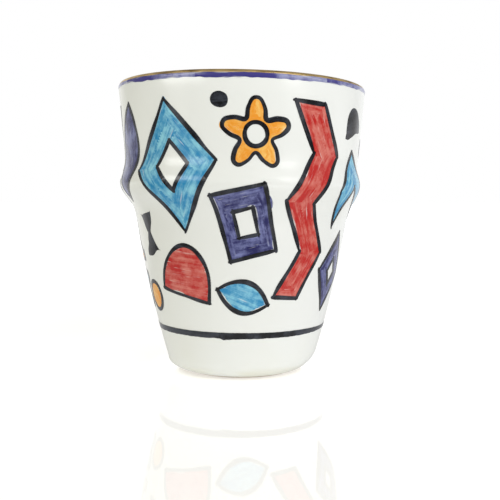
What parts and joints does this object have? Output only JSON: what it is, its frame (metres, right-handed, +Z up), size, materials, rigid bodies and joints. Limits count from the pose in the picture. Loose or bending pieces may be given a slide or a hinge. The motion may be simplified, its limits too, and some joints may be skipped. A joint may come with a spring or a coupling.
{
  "type": "coffee cup",
  "caption": "Handleless ceramic coffee cup, a tapered tumbler with one rib, glazed, painted with outlined motifs, with a blue band and gold line at the lip.",
  "frame": {"origin": "centre of the foot, on the ground", "axes": "+Z up, out of the mouth; -Y towards the front of the cup, as in the picture; +X to the viewer's right"},
  "size_m": [0.08, 0.08, 0.0929],
  "materials": {
    "clay": "bare fired clay",
    "glaze": "glossy off-white glaze",
    "gold": "fired gold lustre",
    "indigo_paint": "brushed indigo under a glossy glaze",
    "turquoise_paint": "brushed turquoise under a glossy glaze",
    "red_paint": "brushed red under a glossy glaze",
    "orange_paint": "brushed orange under a glossy glaze",
    "black_paint": "brushed black under a glossy glaze"
  },
  "bodies": {
    "root": {"clay_body": "clay", "outer_glaze": "glaze", "inner_glaze": "glaze", "recess_glaze": "glaze", "rim_gold_line": "gold", "rim_blue_band": "indigo_paint", "base_black_line": "black_paint", "painted_lozenge_turquoise": "turquoise_paint", "painted_flower_orange": "orange_paint", "painted_tile_indigo": "indigo_paint", "painted_zigzag_red": "red_paint", "painted_halfmoon_red": "red_paint", "painted_leaf_turquoise": "turquoise_paint", "painted_dot_black": "black_paint", "painted_hourglass_black": "black_paint", "painted_dot_orange": "orange_paint", "painted_leaf_indigo": "indigo_paint", "painted_chevron_turquoise": "turquoise_paint", "painted_halfmoon_black": "black_paint", "painted_lozenge_indigo": "indigo_paint", "painted_crescent_orange": "orange_paint", "painted_flower_red": "red_paint", "painted_leaf_orange": "orange_paint", "painted_tile_turquoise": "turquoise_paint", "painted_hourglass_red": "red_paint", "painted_zigzag_indigo": "indigo_paint", "painted_lozenge_orange": "orange_paint", "painted_chevron_red": "red_paint", "painted_dot_indigo": "indigo_paint", "painted_crescent_turquoise": "turquoise_paint", "painted_halfmoon_orange": "orange_paint", "painted_leaf_red": "red_paint", "painted_tile_black": "black_paint", "painted_hourglass_turquoise": "turquoise_paint", "painted_flower_turquoise": "turquoise_paint"}
  },
  "joints": []
}
